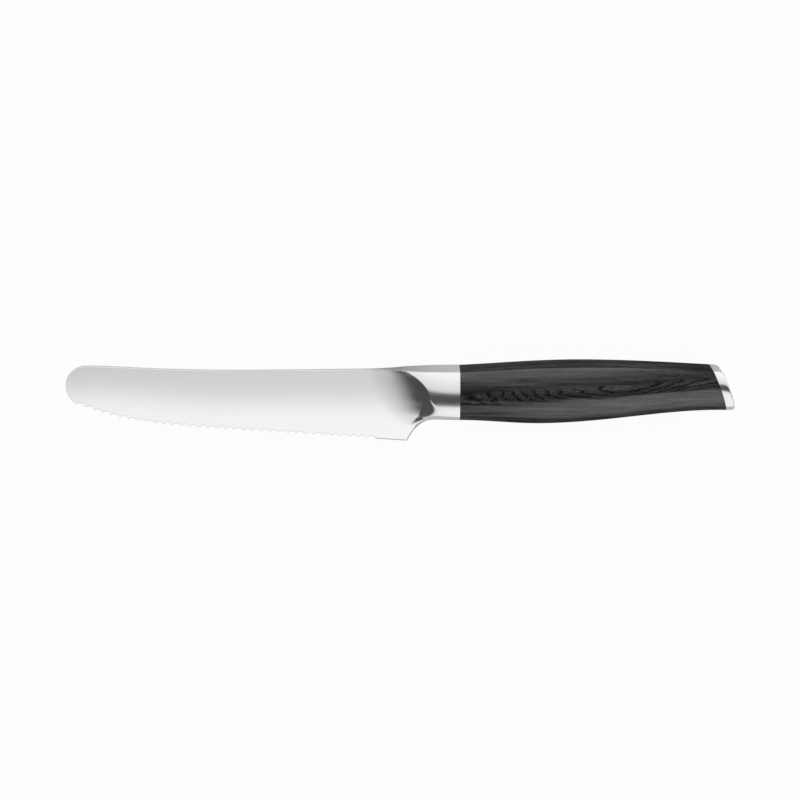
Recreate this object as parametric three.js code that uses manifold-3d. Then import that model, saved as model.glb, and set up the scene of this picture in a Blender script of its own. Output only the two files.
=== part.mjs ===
// A serrated breakfast knife, lying on its right side.
// Blade, bolster and tang are one forging. Two glued handle halves close round the tang,
// dowels pin them to it, and the end cap's tongue is riveted to the tang's tail.
// Millimetres. +X runs from tip to butt, +Y from edge to spine, +Z out of the left face.
import * as THREE from "three";
import { mergeVertices } from "three/addons/utils/BufferGeometryUtils.js";
import Module from "manifold-3d";

const wasm = await Module();
wasm.setup();

// Blade outline: lengths run from the heel, heights and depths from the tang's axis
const BLADE_LENGTH = 120;
const SPINE_HEIGHT = 8.15; // at the heel and along the bolster
const SPINE_DIP_HEIGHT = 7.65;
const SPINE_DIP_FROM_HEEL = 59;
const NOSE_HEIGHT = 9.2; // spine where the round nose begins
const NOSE_RADIUS = 7.45;
const NOSE_END_ANGLE = 240; // degrees round the nose, where the edge begins
const NOSE_EASE = 12.5; // length of the spine's pull where it leaves the nose
const SPINE_DIP_EASE = 33; // the same in front of the dip
const SPINE_REAR_EASE = 24; // and behind the dip
const SPINE_HEEL_EASE = 18; // and in front of the heel
const HEEL_DEPTH = 18.15;
const STRAIGHT_EDGE = 60;
const STRAIGHT_EDGE_RISE = 3.85;
const EDGE_EASE = 28; // length of the curve's pull where the straight edge ends
const BELLY_EASE = 17; // the same where the edge meets the nose
const BELLY_SLOPE = 23; // degrees, edge against the axis at the nose

// Blade section and serration
const SPINE_THICKNESS = 1.65;
const NOSE_THICKNESS = 1.2; // spine thickness at the tip
const EDGE_THICKNESS = 0.34;
const PLAIN_EDGE = 11.1; // unserrated length at the heel
const TOOTH_PITCH = 3.13;
const SCALLOP_DEPTH = 0.9;
const SCALLOP_GRIND_ANGLE = 15; // degrees, grinding wheel against the right face
const SCALLOP_REACH = 8; // length of the wheel's path to either side of the edge

// Bolster, with the hollow that runs out of the blade's sides into it
const BOLSTER_LENGTH = 18.5; // heel to the handle's front face
const BOLSTER_DEPTH = 10;
const BOLSTER_THICKNESS = 16;
const BOLSTER_TOP_WIDTH = 11.6;
const BOLSTER_NOSE = 22.8; // length over which the bolster swells out of the spine
const BOLSTER_NOSE_SINK = 0.4; // length at its start that stays inside the blade
const BOLSTER_NOSE_POWER = 2.6;
const CHOIL_LENGTH = 12; // heel to the bolster's level underside
const CHOIL_LEAN = 28; // degrees from upright at the heel
const CHOIL_PULL = 5.5; // length of the choil's pull at the heel
const CHOIL_EASE = 7; // the same at the bolster
const CHOIL_WEB = 0.5; // share of the choil's curve along which the blade itself shows
const BLADE_ROOT = 15; // heel to the blade's end inside the bolster
const BLADE_ROOT_INSET = 1; // that end below the bolster's top and above its underside
const PLUNGE_START = -7; // at spine height
const PLUNGE_END = 6.5;
const PLUNGE_START_LEAN = 0.5; // run to the rear for each millimetre down
const PLUNGE_END_LEAN = 0.24;
const PLUNGE_DEPTH = 6.8;
const PLUNGE_POWER = 2;
const PLUNGE_SINK = 0.05; // the hollow starts this far below the blade's face
const PLUNGE_RUN_OUT = 2; // flat stretch in front of the hollow, in lengths of the hollow

// Handle section: a flat top, leaning sides with a narrow flat at their widest, a round underside
const GRIP_LENGTH = 91.8; // bolster to end cap along the tang's axis
const FRONT_TOP_SLOPE = 0.05;
const CROWN_HEIGHT = 10.05;
const CROWN_FROM_BOLSTER = 42;
const BELLY_DEPTH = 11.3;
const BELLY_FROM_BOLSTER = 27.5;
const BUTT_HEIGHT = 8.3;
const BUTT_DEPTH = 6.6;
const BUTT_TOP_SLOPE = -0.055;
const GRIP_THICKNESS = 17.8;
const BUTT_THICKNESS = 13.4;
const BUTT_SIDE_SLOPE = -0.03;
const GRIP_TOP_WIDTH = 12.2;
const BUTT_TOP_WIDTH = 8.8;
const WIDEST_DEPTH_FRONT = 2.8; // widest level of the section, below the tang's axis
const WIDEST_DEPTH_REAR = 0.7;
const SIDE_FLAT_HEIGHT = 3;
const SIDE_FLAT_LENGTH = 12;
const SIDE_FLAT_FROM_BOLSTER = 37.5;
const UNDERSIDE_ROUND = 2.2; // exponent of the underside's rounding
const CHOIL_ROUND = 1.4; // the same at the choil, where it is keener

// End cap
const CAP_THICKNESS = 3.15;
const CAP_JOINT_RADIUS = 73;
const CAP_LEAN = 19; // degrees from upright at the tang's axis
const CAP_EDGE_RADIUS = 1.3;

// Tang, its lap with the cap's tongue, and the hidden pins
const TANG_HEIGHT = 8;
const TANG_THICKNESS = 3;
const TANG_ROOT = 3; // length of tang sunk in the bolster
const TONGUE_LENGTH = 13;
const TONGUE_ROOT = 1.2; // length of tongue sunk in the cap
const TONGUE_HEIGHT = 6.4;
const RIVET_COUNT = 2;
const RIVET_DIAMETER = 2.4;
const DOWEL_COUNT = 3;
const DOWEL_DIAMETER = 4;
const DOWEL_LENGTH = 11;
const DOWEL_END_DISTANCE = 13; // outer dowels from the ends of the full tang

// Clearances
const GLUE_LINE = 0.1; // between glued faces
const FIT = 0.2; // round the tang, in the lap and at the ends of pins
const PIN_FIT = 0.1; // radial, round pins

// Fineness of the facets
const CURVE_STEPS = 22;
const CHOIL_STEPS = 10;
const SIDE_STEPS = 6;
const UNDERSIDE_STEPS = 8;
const BOLSTER_STATIONS = 16;
const GRIP_STATIONS = 18;
const PLUNGE_STATIONS = 16;
const CAP_EDGE_STEPS = 4;
const CAP_SETTLING = 6; // rounds in which a point of the cap finds its place along the knife
const WHEEL_SIDES = 72;
const PIN_SIDES = 24;
const BEYOND = 25; // how far cutting bodies reach past the work

const point = (x, y) => new THREE.Vector2(x, y);
const radians = THREE.MathUtils.degToRad;

// A closed geometry as a solid that can be joined and cut.
function toSolid(geometry) {
  const bare = geometry.clone();
  bare.deleteAttribute("normal");
  bare.deleteAttribute("uv");
  const merged = mergeVertices(bare, 1e-4);
  const mesh = new wasm.Mesh({
    numProp: 3,
    vertProperties: new Float32Array(merged.attributes.position.array),
    triVerts: new Uint32Array(merged.index.array),
  });
  return new wasm.Manifold(mesh);
}

// A solid as a geometry with flat facets.
function toGeometry(solid) {
  const mesh = solid.getMesh();
  const geometry = new THREE.BufferGeometry();
  geometry.setAttribute("position", new THREE.BufferAttribute(mesh.vertProperties, 3));
  geometry.setIndex(new THREE.BufferAttribute(mesh.triVerts, 1));
  const facets = geometry.toNonIndexed();
  facets.computeVertexNormals();
  return facets;
}

// A box between two corners.
function block(x0, x1, y0, y1, z0, z1) {
  const box = new THREE.BoxGeometry(x1 - x0, y1 - y0, z1 - z0);
  return toSolid(box.translate((x0 + x1) / 2, (y0 + y1) / 2, (z0 + z1) / 2));
}

// A round bar across the knife, centred on the blade's middle plane.
function crossBar(x, diameter, length) {
  const bar = new THREE.CylinderGeometry(diameter / 2, diameter / 2, length, PIN_SIDES);
  return bar.rotateX(Math.PI / 2).translate(x, 0, 0);
}

// A body through a row of rings with equal numbers of points, closed by a fan at either end.
function loft(rings, firstMiddle, lastMiddle) {
  const count = rings[0].length;
  const vertices = rings.flat();
  const first = vertices.push(firstMiddle) - 1;
  const last = vertices.push(lastMiddle) - 1;
  const faces = [];
  const end = (rings.length - 1) * count;
  for (let i = 0; i < count; i += 1) {
    const next = (i + 1) % count;
    for (let at = 0; at < end; at += count) {
      faces.push(at + i, at + next, at + count + next);
      faces.push(at + i, at + count + next, at + count + i);
    }
    faces.push(first, next, i);
    faces.push(last, end + i, end + next);
  }
  const geometry = new THREE.BufferGeometry().setFromPoints(vertices);
  geometry.setIndex(faces);
  return toSolid(geometry);
}

// A smooth run through stations of place, value and slope, straight past its last station.
function through(stations) {
  return (x) => {
    const later = stations.findIndex((station) => station[0] > x);
    const at = later < 0 ? stations.length - 1 : later;
    const [x0, value0, slope0] = stations[Math.max(at - 1, 0)];
    const [x1, value1, slope1] = stations[at];
    if (later < 0) return value1 + slope1 * (x - x1);
    const span = x1 - x0;
    const u = (x - x0) / span;
    const ease = u * u * (3 - 2 * u);
    const start = u * (1 - u) * (1 - u) * span * slope0;
    return value0 + (value1 - value0) * ease + start - u * u * (1 - u) * span * slope1;
  };
}

// The height of a curve at a place along the knife, for a curve that never turns back.
function heightOn(curve, x) {
  let low = 0;
  let high = 1;
  while (high - low > 1e-9) {
    const middle = (low + high) / 2;
    if (curve.getPoint(middle).x < x) low = middle;
    else high = middle;
  }
  return curve.getPoint(high).y;
}

// Corners of the blade's outline
const heel = point(0, -HEEL_DEPTH);
const straightEnd = point(-STRAIGHT_EDGE, STRAIGHT_EDGE_RISE - HEEL_DEPTH);
const noseCentre = point(NOSE_RADIUS - BLADE_LENGTH, NOSE_HEIGHT - NOSE_RADIUS);
const noseEnd = point(
  noseCentre.x + NOSE_RADIUS * Math.cos(radians(NOSE_END_ANGLE)),
  noseCentre.y + NOSE_RADIUS * Math.sin(radians(NOSE_END_ANGLE)),
);
const spineDip = point(-SPINE_DIP_FROM_HEEL, SPINE_DIP_HEIGHT);
const edgeSlope = STRAIGHT_EDGE_RISE / STRAIGHT_EDGE;

// The edge from its straight part to the nose
const bellyEdge = new THREE.CubicBezierCurve(
  straightEnd,
  point(straightEnd.x - EDGE_EASE, straightEnd.y + EDGE_EASE * edgeSlope),
  point(
    noseEnd.x + BELLY_EASE * Math.cos(radians(BELLY_SLOPE)),
    noseEnd.y - BELLY_EASE * Math.sin(radians(BELLY_SLOPE)),
  ),
  noseEnd,
);

// The choil, from the heel up and round to the bolster's level underside
const choil = new THREE.CubicBezierCurve(
  heel,
  point(
    heel.x + CHOIL_PULL * Math.sin(radians(CHOIL_LEAN)),
    heel.y + CHOIL_PULL * Math.cos(radians(CHOIL_LEAN)),
  ),
  point(CHOIL_LENGTH - CHOIL_EASE, -BOLSTER_DEPTH),
  point(CHOIL_LENGTH, -BOLSTER_DEPTH),
);
const choilWeb = choil.getPoint(CHOIL_WEB).x;

// Half the blade's thickness: plane faces that thin towards the edge and the tip.
function bladeHalf(x, y) {
  const towardsEdge = (SPINE_HEIGHT - y) / (SPINE_HEIGHT + HEEL_DEPTH);
  const towardsTip = -x / BLADE_LENGTH;
  const edgeLoss = towardsEdge * (SPINE_THICKNESS - EDGE_THICKNESS);
  const tipLoss = towardsTip * (SPINE_THICKNESS - NOSE_THICKNESS);
  return (SPINE_THICKNESS - edgeLoss - tipLoss) / 2;
}

// The blade as a plate of the outline, its rear end hidden in the bolster.
function bladePlate() {
  const outline = new THREE.Shape();
  outline.moveTo(heel.x, heel.y);
  outline.lineTo(straightEnd.x, straightEnd.y);
  outline.bezierCurveTo(...bellyEdge.v1, ...bellyEdge.v2, ...bellyEdge.v3);
  outline.absarc(noseCentre.x, noseCentre.y, NOSE_RADIUS, radians(NOSE_END_ANGLE), Math.PI / 2, true);
  outline.bezierCurveTo(
    noseCentre.x + NOSE_EASE, NOSE_HEIGHT,
    spineDip.x - SPINE_DIP_EASE, spineDip.y,
    spineDip.x, spineDip.y,
  );
  outline.bezierCurveTo(
    spineDip.x + SPINE_REAR_EASE, spineDip.y,
    heel.x - SPINE_HEEL_EASE, SPINE_HEIGHT,
    heel.x, SPINE_HEIGHT,
  );
  outline.lineTo(BLADE_ROOT, SPINE_HEIGHT - BLADE_ROOT_INSET);
  outline.lineTo(BLADE_ROOT, BLADE_ROOT_INSET - BOLSTER_DEPTH);
  outline.lineTo(CHOIL_LENGTH - CHOIL_EASE / 2, BLADE_ROOT_INSET - BOLSTER_DEPTH);
  for (let step = CHOIL_STEPS; step > 0; step -= 1) {
    const at = choil.getPoint((CHOIL_WEB * step) / CHOIL_STEPS);
    outline.lineTo(at.x, at.y);
  }
  const settings = { depth: 2, bevelEnabled: false, curveSegments: CURVE_STEPS };
  const plate = new THREE.ExtrudeGeometry(outline, settings);
  const places = plate.attributes.position;
  for (let i = 0; i < places.count; i += 1) {
    const side = Math.sign(places.getZ(i) - 1);
    places.setZ(i, side * bladeHalf(places.getX(i), places.getY(i)));
  }
  return toSolid(plate);
}

// The serration: hollows ground into the right face, so deep that they notch the edge.
function serrate(blade) {
  const edge = new THREE.CurvePath();
  edge.add(new THREE.LineCurve(point(-PLAIN_EDGE, PLAIN_EDGE * edgeSlope - HEEL_DEPTH), straightEnd));
  edge.add(bellyEdge);
  const count = Math.round(edge.getLength() / TOOTH_PITCH);
  const pitch = edge.getLength() / count;
  const sine = Math.sin(radians(SCALLOP_GRIND_ANGLE));
  const cosine = Math.cos(radians(SCALLOP_GRIND_ANGLE));
  const sink = SCALLOP_DEPTH * sine;
  const wheelRadius = (pitch * pitch / 4 + sink * sink) / (2 * sink);
  let notched = blade;
  for (let tooth = 0; tooth < count; tooth += 1) {
    const at = edge.getPointAt((tooth + 0.5) / count);
    const along = edge.getTangentAt((tooth + 0.5) / count);
    const up = new THREE.Vector3(along.y, -along.x, 0);
    const path = up.clone().multiplyScalar(cosine).setZ(-sine);
    const inward = up.clone().multiplyScalar(sine).setZ(cosine);
    const across = new THREE.Vector3().crossVectors(path, inward);
    const axis = new THREE.Vector3(at.x, at.y, bladeHalf(at.x, at.y));
    axis.addScaledVector(up, SCALLOP_DEPTH).addScaledVector(inward, -wheelRadius);
    const wheel = new THREE.CylinderGeometry(wheelRadius, wheelRadius, 2 * SCALLOP_REACH, WHEEL_SIDES);
    wheel.applyMatrix4(new THREE.Matrix4().makeBasis(across, path, inward).setPosition(axis));
    notched = notched.subtract(toSolid(wheel));
  }
  return notched;
}

// Sizes of the bolster and handle at a place along the knife
const gripFront = BOLSTER_LENGTH;
const gripRear = BOLSTER_LENGTH + GRIP_LENGTH;
const flatFront = gripFront + SIDE_FLAT_FROM_BOLSTER;
const flatRear = flatFront + SIDE_FLAT_LENGTH;
const gripTop = through([
  [gripFront, SPINE_HEIGHT, FRONT_TOP_SLOPE],
  [gripFront + CROWN_FROM_BOLSTER, CROWN_HEIGHT, 0],
  [gripRear, BUTT_HEIGHT, BUTT_TOP_SLOPE],
]);
const gripBottom = through([
  [gripFront, -BOLSTER_DEPTH, 0],
  [gripFront + BELLY_FROM_BOLSTER, -BELLY_DEPTH, 0],
  [gripRear, -BUTT_DEPTH, 0],
]);
const gripThickness = through([
  [gripFront, BOLSTER_THICKNESS, 0],
  [flatFront, GRIP_THICKNESS, 0],
  [flatRear, GRIP_THICKNESS, 0],
  [gripRear, BUTT_THICKNESS, BUTT_SIDE_SLOPE],
]);
const gripTopWidth = through([
  [gripFront, BOLSTER_TOP_WIDTH, 0],
  [gripFront + CROWN_FROM_BOLSTER, GRIP_TOP_WIDTH, 0],
  [gripRear, BUTT_TOP_WIDTH, BUTT_SIDE_SLOPE],
]);
const widestLevel = through([
  [gripFront, -WIDEST_DEPTH_FRONT, 0],
  [gripRear, -WIDEST_DEPTH_REAR, 0],
]);
const undersideRound = through([
  [choilWeb, CHOIL_ROUND, 0],
  [gripFront, UNDERSIDE_ROUND, 0],
]);

function sectionAt(x) {
  if (x >= gripFront) {
    return {
      top: gripTop(x), bottom: gripBottom(x), widest: widestLevel(x),
      half: gripThickness(x) / 2, topHalf: gripTopWidth(x) / 2, round: UNDERSIDE_ROUND,
    };
  }
  const swell = 1 - ((gripFront - x) / BOLSTER_NOSE) ** BOLSTER_NOSE_POWER;
  const place = Math.max(x, choilWeb);
  return {
    top: SPINE_HEIGHT, bottom: heightOn(choil, Math.min(place, CHOIL_LENGTH)), widest: -WIDEST_DEPTH_FRONT,
    half: (BOLSTER_THICKNESS / 2) * swell, topHalf: (BOLSTER_TOP_WIDTH / 2) * swell,
    round: undersideRound(place),
  };
}

// The left half of a section from its top edge to its lowest point, as heights and half widths.
function halfProfile({ top, bottom, widest, half, topHalf, round }) {
  const flatTop = widest + SIDE_FLAT_HEIGHT / 2;
  const flatBottom = widest - SIDE_FLAT_HEIGHT / 2;
  const profile = [];
  for (let step = 0; step <= SIDE_STEPS; step += 1) {
    const rise = 1 - step / SIDE_STEPS;
    profile.push(point(flatTop + (top - flatTop) * rise, half - (half - topHalf) * rise * rise));
  }
  for (let step = 0; step <= UNDERSIDE_STEPS; step += 1) {
    const turn = ((step / UNDERSIDE_STEPS) * Math.PI) / 2;
    const down = Math.sin(turn) ** (2 / round);
    const out = step < UNDERSIDE_STEPS ? Math.cos(turn) ** (2 / round) : 0;
    profile.push(point(flatBottom + (bottom - flatBottom) * down, half * out));
  }
  return profile;
}

// A whole ring of a section: down the left side and up the right.
function ringAt(x) {
  const left = halfProfile(sectionAt(x));
  const right = left.slice(0, -1).reverse();
  const ring = left.map((at) => new THREE.Vector3(x, at.x, at.y));
  return ring.concat(right.map((at) => new THREE.Vector3(x, at.x, -at.y)));
}

const middleAt = (x) => new THREE.Vector3(x, widestLevel(Math.max(x, gripFront)), 0);

// The bolster before its hollows are ground: a swell that grows out of the spine.
function bolsterBody() {
  const front = gripFront - BOLSTER_NOSE + BOLSTER_NOSE_SINK;
  const rings = [];
  for (let station = 0; station <= BOLSTER_STATIONS; station += 1) {
    rings.push(ringAt(front + ((gripFront - front) * station) / BOLSTER_STATIONS));
  }
  return loft(rings, middleAt(front), middleAt(gripFront));
}

// What the hollows leave standing: ruled sides that leave the blade's faces and bend outwards.
function plungeBody() {
  const levels = [SPINE_HEIGHT + BLADE_ROOT_INSET, -BOLSTER_DEPTH - CHOIL_PULL];
  const reach = (BOLSTER_THICKNESS / PLUNGE_DEPTH) ** (1 / PLUNGE_POWER);
  const rings = [];
  for (let station = -1; station <= PLUNGE_STATIONS; station += 1) {
    const share = (reach * station) / PLUNGE_STATIONS;
    const [upper, lower] = levels.map((y) => {
      const below = SPINE_HEIGHT - y;
      const start = PLUNGE_START + PLUNGE_START_LEAN * below;
      const end = PLUNGE_END + PLUNGE_END_LEAN * below;
      const x = start + (end - start) * (station < 0 ? -PLUNGE_RUN_OUT : share);
      const rise = PLUNGE_DEPTH * Math.max(share, 0) ** PLUNGE_POWER;
      return new THREE.Vector3(x, y, bladeHalf(Math.min(x, 0), y) - PLUNGE_SINK + rise);
    });
    rings.push([upper, lower, lower.clone().setZ(-lower.z), upper.clone().setZ(-upper.z)]);
  }
  const rear = rings.at(-1).map((at) => at.clone().setX(at.x + BEYOND));
  rings.push(rear);
  const middle = (ring) => ring[0].clone().add(ring[1]).add(ring[2]).add(ring[3]).divideScalar(4);
  return loft(rings, middle(rings[0]), middle(rear));
}

// The place of the joint between handle and end cap at a height: an arc that leans back.
const jointCentre = point(
  gripRear - CAP_JOINT_RADIUS * Math.cos(radians(CAP_LEAN)),
  -CAP_JOINT_RADIUS * Math.sin(radians(CAP_LEAN)),
);
const jointAt = (y) => jointCentre.x + Math.sqrt(CAP_JOINT_RADIUS ** 2 - (y - jointCentre.y) ** 2);

// Everything in front of the joint, moved along the knife by a gap.
function beforeJoint(gap) {
  const outline = new THREE.Shape();
  const low = -HEEL_DEPTH;
  const high = CROWN_HEIGHT + CAP_THICKNESS;
  outline.moveTo(gripFront - BEYOND, low);
  outline.lineTo(jointAt(low) + gap, low);
  const angle = (y) => Math.asin((y - jointCentre.y) / CAP_JOINT_RADIUS);
  outline.absarc(jointCentre.x + gap, jointCentre.y, CAP_JOINT_RADIUS, angle(low), angle(high), false);
  outline.lineTo(gripFront - BEYOND, high);
  const depth = 2 * BEYOND;
  const settings = { depth, bevelEnabled: false, curveSegments: CURVE_STEPS };
  const body = new THREE.ExtrudeGeometry(outline, settings);
  return toSolid(body.translate(0, 0, -depth / 2));
}

// Places of the lap between the tang's tail and the cap's tongue, and of the pins
const lapFront = gripRear - TONGUE_LENGTH;
const tailEnd = jointAt(TANG_HEIGHT / 2) - FIT;
const rivetPlaces = Array.from({ length: RIVET_COUNT }, (_, i) => {
  return lapFront + ((tailEnd - lapFront) * (i + 0.5)) / RIVET_COUNT;
});
const dowelPlaces = Array.from({ length: DOWEL_COUNT }, (_, i) => {
  const first = gripFront + DOWEL_END_DISTANCE;
  const last = lapFront - DOWEL_END_DISTANCE;
  return first + ((last - first) * i) / Math.max(DOWEL_COUNT - 1, 1);
});

// Holes for the pins, wider than them by the pin fit.
function drilled(solid, places, diameter, length) {
  const bore = diameter + 2 * PIN_FIT;
  return places.reduce((left, x) => left.subtract(toSolid(crossBar(x, bore, length))), solid);
}

function forging() {
  const half = TANG_THICKNESS / 2;
  const reach = TANG_HEIGHT / 2;
  const bolster = bolsterBody().intersect(plungeBody());
  const tang = block(gripFront - TANG_ROOT, lapFront - FIT, -reach, reach, -half, half);
  const tail = block(lapFront - 2 * FIT, tailEnd, -reach, reach, -half, -FIT / 2);
  const bar = drilled(tang.add(tail), dowelPlaces, DOWEL_DIAMETER, 2 * BEYOND);
  const holed = drilled(bar, rivetPlaces, RIVET_DIAMETER, 2 * BEYOND);
  return toGeometry(serrate(bladePlate()).add(bolster).add(holed));
}

// One handle half; side is 1 for the left one, which faces up, and -1 for the right.
function handleHalf(side) {
  const places = [flatFront, flatRear];
  const rear = jointAt(-BUTT_DEPTH) + CAP_THICKNESS;
  for (let station = 0; station <= GRIP_STATIONS; station += 1) {
    places.push(gripFront + GLUE_LINE + ((rear - gripFront) * station) / GRIP_STATIONS);
  }
  places.sort((a, b) => a - b);
  const whole = loft(places.map(ringAt), middleAt(places[0]), middleAt(places.at(-1)));
  const zLow = Math.min(side * GLUE_LINE / 2, side * BEYOND);
  const zHigh = Math.max(side * GLUE_LINE / 2, side * BEYOND);
  const room = block(gripFront - BEYOND, rear + BEYOND, -BEYOND, BEYOND, zLow, zHigh);
  const pocketReach = TANG_HEIGHT / 2 + FIT;
  const pocketHalf = TANG_THICKNESS / 2 + FIT;
  const pocket = block(gripFront - FIT, rear + FIT, -pocketReach, pocketReach, -pocketHalf, pocketHalf);
  const scale = whole.intersect(room).intersect(beforeJoint(-GLUE_LINE)).subtract(pocket);
  return toGeometry(drilled(scale, dowelPlaces, DOWEL_DIAMETER, DOWEL_LENGTH + 2 * FIT));
}

// A ring of the cap: the section where it lies a distance behind the joint, drawn in by an inset.
function capRing(behind, inset) {
  const count = ringAt(gripRear).length;
  return Array.from({ length: count }, (_, i) => {
    let at = ringAt(gripRear)[i];
    for (let turn = 0; turn < CAP_SETTLING; turn += 1) at = ringAt(jointAt(at.y) + behind)[i];
    const { top, bottom, half } = sectionAt(at.x);
    const middle = (top + bottom) / 2;
    at.y = middle + (at.y - middle) * (1 - (2 * inset) / (top - bottom));
    at.z *= 1 - inset / half;
    at.x = jointAt(at.y) + behind;
    return at;
  });
}

function endCap() {
  const radius = Math.min(CAP_EDGE_RADIUS, CAP_THICKNESS - FIT);
  const rings = [capRing(-CAP_THICKNESS, 0), capRing(0, 0), capRing(CAP_THICKNESS - radius, 0)];
  for (let step = 1; step <= CAP_EDGE_STEPS; step += 1) {
    const turn = ((step / CAP_EDGE_STEPS) * Math.PI) / 2;
    rings.push(capRing(CAP_THICKNESS - radius * (1 - Math.sin(turn)), radius * (1 - Math.cos(turn))));
  }
  const level = widestLevel(gripRear);
  const middle = (behind) => new THREE.Vector3(jointAt(level) + behind, level, 0);
  const blank = loft(rings, middle(-CAP_THICKNESS), middle(CAP_THICKNESS));
  const reach = TONGUE_HEIGHT / 2;
  const plate = blank.subtract(beforeJoint(GLUE_LINE));
  const tongue = block(lapFront, gripRear + TONGUE_ROOT, -reach, reach, FIT / 2, TANG_THICKNESS / 2);
  return toGeometry(drilled(plate.add(tongue), rivetPlaces, RIVET_DIAMETER, 2 * BEYOND));
}

const satinSteel = { color: 0xd6d6d4, roughness: 0.34, metalness: 1 };
const polishedSteel = { color: 0xdededc, roughness: 0.16, metalness: 1 };
const blackWood = { color: 0x262423, roughness: 0.42, metalness: 0 };
const pinSteel = { color: 0xb4b4b0, roughness: 0.4, metalness: 1 };

const knife = new THREE.Group();

function addPiece(name, geometry, finish) {
  const piece = new THREE.Mesh(geometry, new THREE.MeshStandardMaterial(finish));
  piece.name = name;
  knife.add(piece);
}

addPiece("forged_blade", forging(), satinSteel);
addPiece("left_handle_half", handleHalf(1), blackWood);
addPiece("right_handle_half", handleHalf(-1), blackWood);
addPiece("end_cap", endCap(), polishedSteel);
dowelPlaces.forEach((x, i) => {
  addPiece(`handle_dowel_${i + 1}`, crossBar(x, DOWEL_DIAMETER, DOWEL_LENGTH), pinSteel);
});
rivetPlaces.forEach((x, i) => {
  addPiece(`cap_rivet_${i + 1}`, crossBar(x, RIVET_DIAMETER, TANG_THICKNESS), pinSteel);
});

// The origin lies under the middle of the knife, on the surface that it rests on.
const box = new THREE.Box3().setFromObject(knife);
knife.position.set(-(box.min.x + box.max.x) / 2, -(box.min.y + box.max.y) / 2, -box.min.z);

const part = new THREE.Group();
part.add(knife);

export default part;
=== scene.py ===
"""A serrated breakfast knife that lies on its right side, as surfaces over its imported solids.

Lengths are millimetres in the knife's own axes until a surface goes into its mesh in metres:
X from the heel towards the butt, Y from the tang's axis towards the spine, Z out of the left face.
"""
import math

import bpy
import numpy as np
from mathutils import Matrix, Vector


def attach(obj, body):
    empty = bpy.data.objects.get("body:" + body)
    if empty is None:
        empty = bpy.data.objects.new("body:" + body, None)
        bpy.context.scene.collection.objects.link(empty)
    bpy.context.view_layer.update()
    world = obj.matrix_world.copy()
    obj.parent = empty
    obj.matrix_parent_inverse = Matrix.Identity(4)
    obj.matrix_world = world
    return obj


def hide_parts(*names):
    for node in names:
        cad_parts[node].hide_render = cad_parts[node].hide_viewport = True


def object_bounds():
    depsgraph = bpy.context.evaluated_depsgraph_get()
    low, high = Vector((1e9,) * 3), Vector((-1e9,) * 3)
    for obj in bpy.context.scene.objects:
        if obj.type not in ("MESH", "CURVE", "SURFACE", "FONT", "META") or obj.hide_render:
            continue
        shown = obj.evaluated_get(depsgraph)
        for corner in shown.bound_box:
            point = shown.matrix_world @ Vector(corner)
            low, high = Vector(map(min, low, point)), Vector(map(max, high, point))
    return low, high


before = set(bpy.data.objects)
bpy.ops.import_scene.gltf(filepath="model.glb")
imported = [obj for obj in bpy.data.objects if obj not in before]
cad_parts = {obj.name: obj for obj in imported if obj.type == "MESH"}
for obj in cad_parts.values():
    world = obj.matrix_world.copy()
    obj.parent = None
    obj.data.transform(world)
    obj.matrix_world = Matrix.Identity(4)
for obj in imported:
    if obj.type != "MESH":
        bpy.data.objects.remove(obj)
solid_low, solid_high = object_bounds()

# Blade outline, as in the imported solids
BLADE_LENGTH = 120
SPINE_HEIGHT = 8.15
SPINE_DIP = (-59, 7.65)
SPINE_PULLS = (12.5, 33, 24, 18)  # of the spine's two curves, from the nose to the heel
NOSE_HEIGHT = 9.2
NOSE_RADIUS = 7.45
NOSE_TOP_ANGLE = 90
NOSE_TIP_ANGLE = 180
NOSE_END_ANGLE = 240
HEEL_DEPTH = 18.15
STRAIGHT_EDGE = (-60, -14.3)  # where the straight part of the edge ends
EDGE_PULLS = (28, 17)
BELLY_SLOPE = 23

# Blade section and serration
SPINE_THICKNESS = 1.65
NOSE_THICKNESS = 1.2
EDGE_THICKNESS = 0.34
BLADE_CROWN = 0.1  # how far a face bulges between spine and edge
PLAIN_EDGE = 11.1
HONED_EDGE = 0.45  # height of the bevel on the plain part of the edge
TOOTH_PITCH = 3.13
SCALLOP_DEPTH = 0.9
SCALLOP_LEAN = 15
TOOTH_DULLNESS = 0.24  # of the strip along the teeth, where the plain edge has one

# Bolster and the hollow that runs out of the blade's sides into it
BOLSTER_LENGTH = 18.5
BOLSTER_DEPTH = 10
BOLSTER_NOSE = 29.5
BOLSTER_NOSE_POWER = 2.2
BOLSTER_NOSE_BLEND = 0.5
CHOIL_LENGTH = 12
CHOIL_LEAN = 28
CHOIL_PULLS = (5.5, 7)
CHOIL_WEB = 0.3  # share of the choil's curve along which there is only the blade
CHOIL_FADE = (-14.2, -9.5)  # heights between which the bolster thins out along the choil
CHOIL_ROUND = 1.6
# Rows of height, value and slope: where the hollow starts, where it ends at the crease, how far the
# crease is rounded, and how much of the bolster's rise the hollow takes evenly
HOLLOW_START = [
    (-12, -8, -0.49), (-7, -10.45, -0.63), (-3, -13.4, -0.46), (1, -14.1, 0), (SPINE_HEIGHT, -12.4, 0.33),
]
CREASE = [
    (-14.2, 1.5, 0.83), (-11.8, 3.5, 1.04), (-10.1, 5.4, 1), (-7.9, 6.9, 0.55), (-5.2, 7.9, 0.2),
    (-2.8, 8.05, -0.09), (2.83, 6.27, -0.85), (5.95, 2.77, -1.67), (SPINE_HEIGHT, -1.8, -2.1),
]
CREASE_ROUND = [(-9, 3, 0), (-5, 3, 0), (-1, 0.7, -0.35), (2, 0.16, 0)]
HOLLOW_SHARE = [(-8, 0.79, 0.01), (-3, 0.85, 0.025), (1.5, 0.97, 0.015), (5, 1, 0)]
HOLLOW_LIP = (-4.5, -1)  # heights between which it comes to take the rest close to the crease
LIP_POWER = 8
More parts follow.
